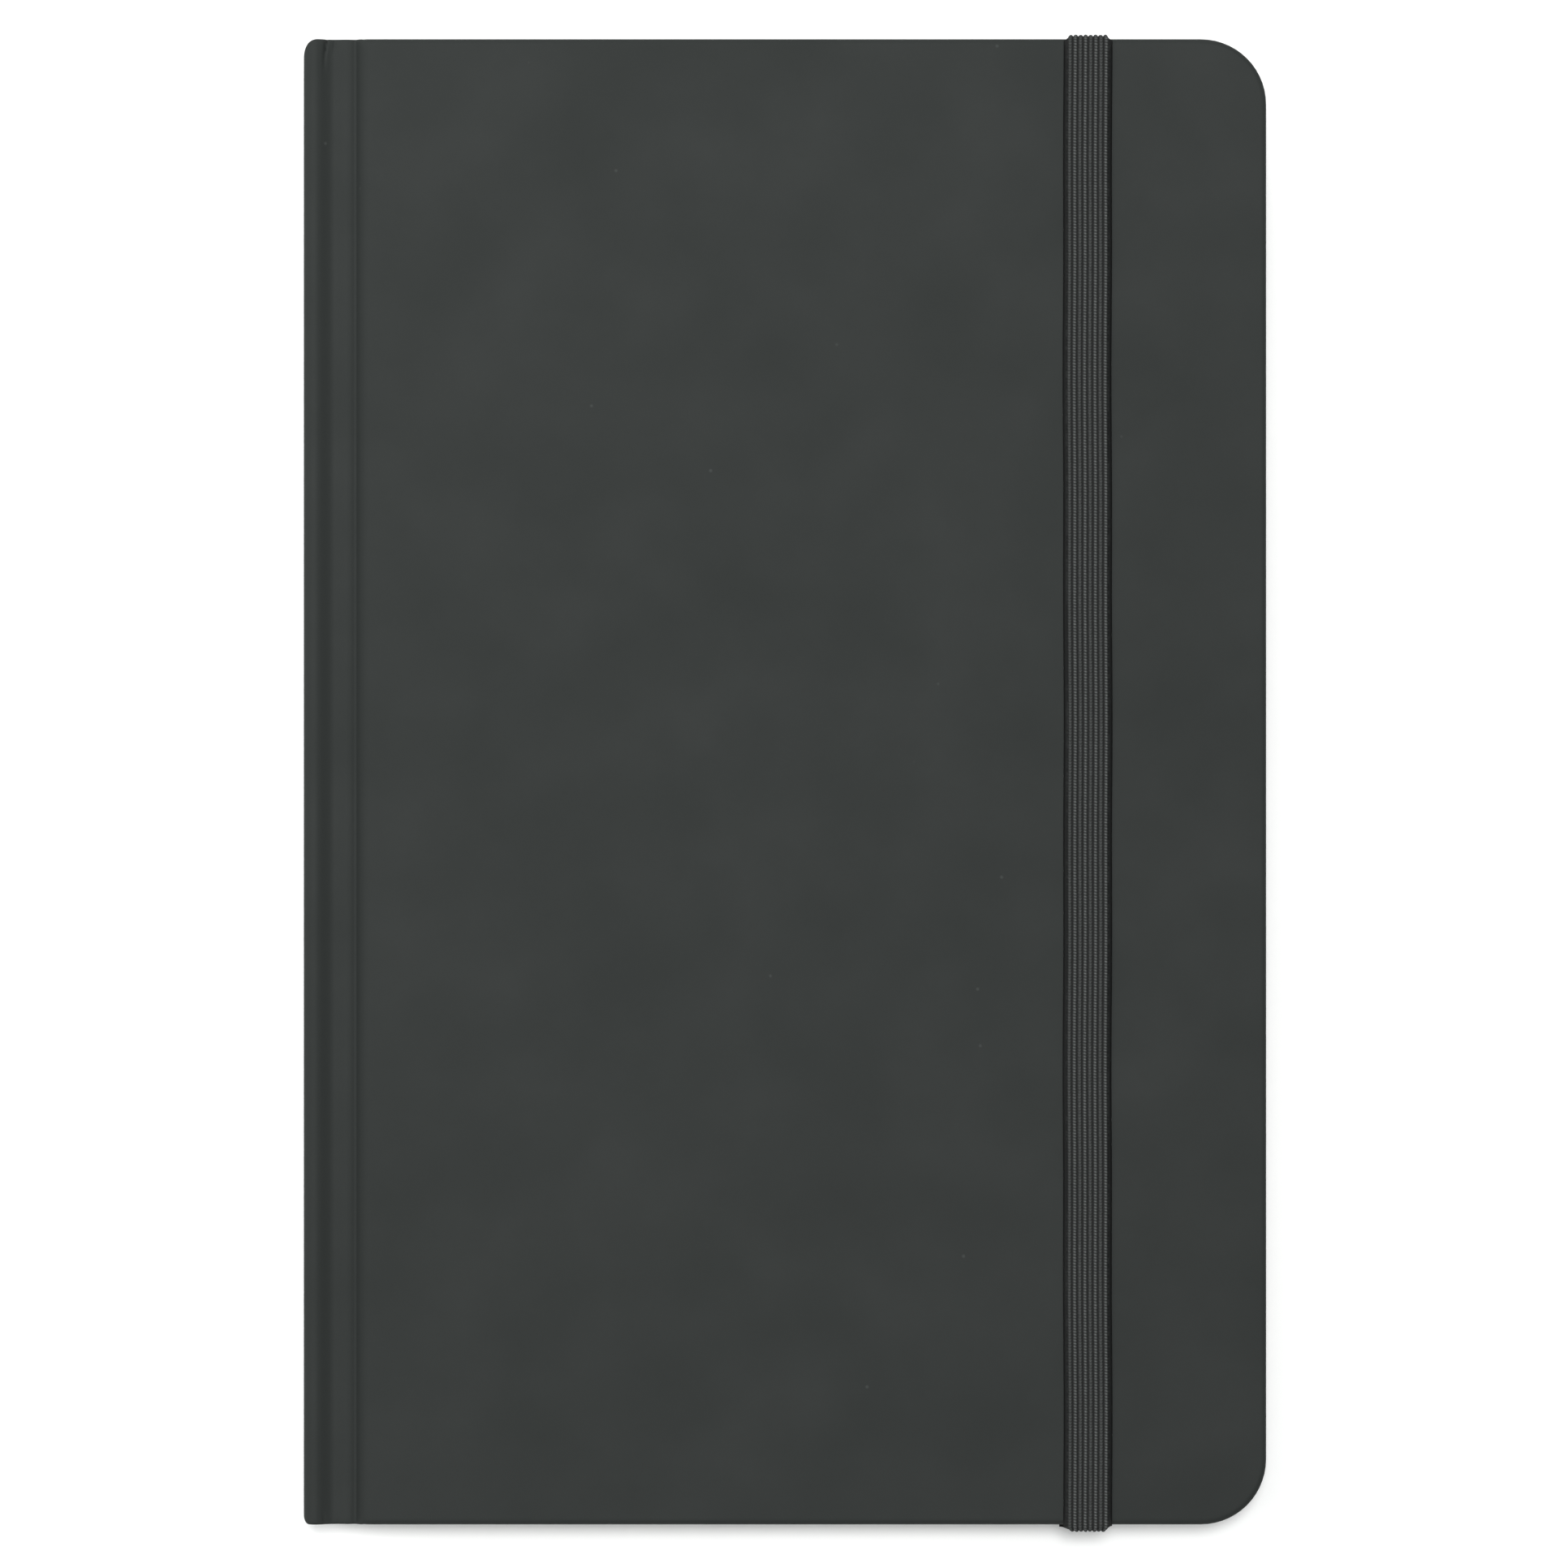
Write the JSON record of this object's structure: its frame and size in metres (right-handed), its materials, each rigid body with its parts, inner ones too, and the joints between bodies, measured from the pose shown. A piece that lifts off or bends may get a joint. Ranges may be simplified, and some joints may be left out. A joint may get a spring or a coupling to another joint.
{
  "type": "sketchbook",
  "caption": "Hardbound sketchbook in dark matte cloth, with a sewn page block, round fore-edge corners and a ribbed elastic closure band.",
  "frame": {"origin": "middle of the back cover's outer face, where the closed book rests", "axes": "+X from the spine to the fore edge, +Y from the tail to the head, +Z from the back cover to the front cover"},
  "size_m": [0.14, 0.218, 0.0192],
  "materials": {
    "cover_cloth": "matte soft-touch book cloth",
    "grey_board": "uncoated grey board",
    "endpaper": "smooth heavy endpaper",
    "page_paper": "uncoated drawing paper",
    "elastic_band": "ribbed knitted elastic",
    "kraft_lining": "kraft paper",
    "mull_gauze": "open starched gauze",
    "end_band_silk": "striped woven band",
    "thread": "waxed linen thread"
  },
  "bodies": {
    "back_cover": {"back_cover_cloth": "cover_cloth", "back_board": "grey_board", "back_pastedown": "endpaper", "elastic_end_head": "elastic_band", "elastic_end_tail": "elastic_band"},
    "page_block": {"spine_cloth": "cover_cloth", "spine_strip": "grey_board", "front_joint_cloth": "cover_cloth", "back_joint_cloth": "cover_cloth", "spine_lining": "kraft_lining", "mull": "mull_gauze", "head_band": "end_band_silk", "tail_band": "end_band_silk", "sewing_thread": "thread", "back_flyleaf": "page_paper", "signature_01": "page_paper", "signature_02": "page_paper", "signature_03": "page_paper", "signature_04": "page_paper", "signature_05": "page_paper", "signature_06": "page_paper", "signature_07": "page_paper", "signature_08": "page_paper", "signature_09": "page_paper", "signature_10": "page_paper"},
    "front_cover": {"front_cover_cloth": "cover_cloth", "front_board": "grey_board", "front_pastedown": "endpaper"},
    "front_flyleaf": {"front_flyleaf": "page_paper"},
    "leaf_1": {"leaf_1": "page_paper"},
    "leaf_2": {"leaf_2": "page_paper"},
    "leaf_3": {"leaf_3": "page_paper"},
    "elastic_legs": {"elastic_leg_head": "elastic_band", "elastic_leg_tail": "elastic_band"},
    "elastic_strand": {"elastic_strand": "elastic_band"}
  },
  "joints": [
    {"name": "back_joint", "type": "hinge", "parent": "back_cover", "child": "page_block", "pos_m": [-0.0664, 0, 0.004], "axis": [0, 1, 0], "range_deg": [-90, 0], "deforming": ["back_joint_cloth"]},
    {"name": "front_joint", "type": "hinge", "parent": "page_block", "child": "front_cover", "pos_m": [-0.0664, 0, 0.0172], "axis": [0, -1, 0], "range_deg": [0, 179], "deforming": ["front_joint_cloth"]},
    {"name": "flyleaf_turn", "type": "hinge", "parent": "page_block", "child": "front_flyleaf", "pos_m": [-0.0664, 0, 0.0172], "axis": [0, -1, 0], "range_deg": [0, 172]},
    {"name": "leaf_1_turn", "type": "hinge", "parent": "page_block", "child": "leaf_1", "pos_m": [-0.0664, 0, 0.0172], "axis": [0, -1, 0], "range_deg": [0, 165]},
    {"name": "leaf_2_turn", "type": "hinge", "parent": "page_block", "child": "leaf_2", "pos_m": [-0.0664, 0, 0.0172], "axis": [0, -1, 0], "range_deg": [0, 157]},
    {"name": "leaf_3_turn", "type": "hinge", "parent": "page_block", "child": "leaf_3", "pos_m": [-0.0664, 0, 0.0172], "axis": [0, -1, 0], "range_deg": [0, 148]},
    {"name": "elastic_swing", "type": "hinge", "parent": "back_cover", "child": "elastic_legs", "pos_m": [0.044, 0, 0.0006], "axis": [0, 1, 0], "range_deg": [0, 85]},
    {"name": "elastic_stretch", "type": "slide", "parent": "elastic_legs", "child": "elastic_strand", "axis": [0, 0, 1], "range_m": [0, 0.0165], "deforming": ["elastic_strand", "elastic_leg_head", "elastic_leg_tail"]}
  ],
  "couplings": [
    {"joint": "flyleaf_turn", "follows": "front_joint", "ratio": 0.95},
    {"joint": "leaf_1_turn", "follows": "front_joint", "ratio": 0.91},
    {"joint": "leaf_2_turn", "follows": "front_joint", "ratio": 0.865},
    {"joint": "leaf_3_turn", "follows": "front_joint", "ratio": 0.815},
    {"joint": "elastic_swing", "follows": "front_joint", "ratio": 0.47},
    {"joint": "elastic_stretch", "follows": "front_joint", "m_per_rad": 0.0052}
  ]
}
